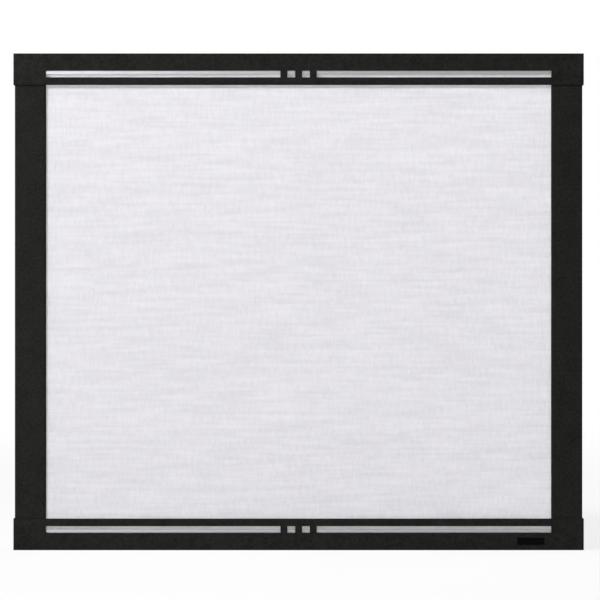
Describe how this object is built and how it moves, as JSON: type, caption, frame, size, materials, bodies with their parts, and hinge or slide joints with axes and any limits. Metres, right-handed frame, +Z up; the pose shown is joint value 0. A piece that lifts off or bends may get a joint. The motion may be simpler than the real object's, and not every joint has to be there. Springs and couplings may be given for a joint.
{
  "type": "fireplace screen front",
  "caption": "Flat rectangular screen front for a fireplace: black folded-steel frame with slotted top and bottom rails over a panel of fine wire mesh, hung on hooks at the back.",
  "frame": {"origin": "middle of the bottom edge, half-way through the depth from the frame's front to the tips of the hooks", "axes": "+X to the right as seen from the front, -Y towards the viewer in front, +Z up"},
  "size_m": [0.9334, 0.0448, 0.813],
  "materials": {
    "powder": "fine-textured matt black powder coat",
    "wire": "bright drawn stainless wire",
    "hem": "mill-finish stainless sheet",
    "zinc": "bright zinc plate",
    "copper_flash": "copper-flashed steel",
    "plate": "gloss black, blank"
  },
  "bodies": {
    "root": {"top_rail": "powder", "bottom_rail": "powder", "left_stile": "powder", "right_stile": "powder", "mesh_warp": "wire", "mesh_weft": "wire", "mesh_hem_top": "hem", "mesh_hem_bottom": "hem", "mesh_hem_left": "hem", "mesh_hem_right": "hem", "mesh_clips_top": "zinc", "mesh_clips_bottom": "zinc", "mesh_clips_left": "zinc", "mesh_clips_right": "zinc", "upper_left_hook": "zinc", "upper_right_hook": "zinc", "lower_left_hook": "zinc", "lower_right_hook": "zinc", "corner_nuts": "zinc", "clip_nuts": "zinc", "hook_nuts": "zinc", "top_rail_studs": "copper_flash", "bottom_rail_studs": "copper_flash", "left_stile_studs": "copper_flash", "right_stile_studs": "copper_flash", "nameplate": "plate"}
  },
  "joints": []
}
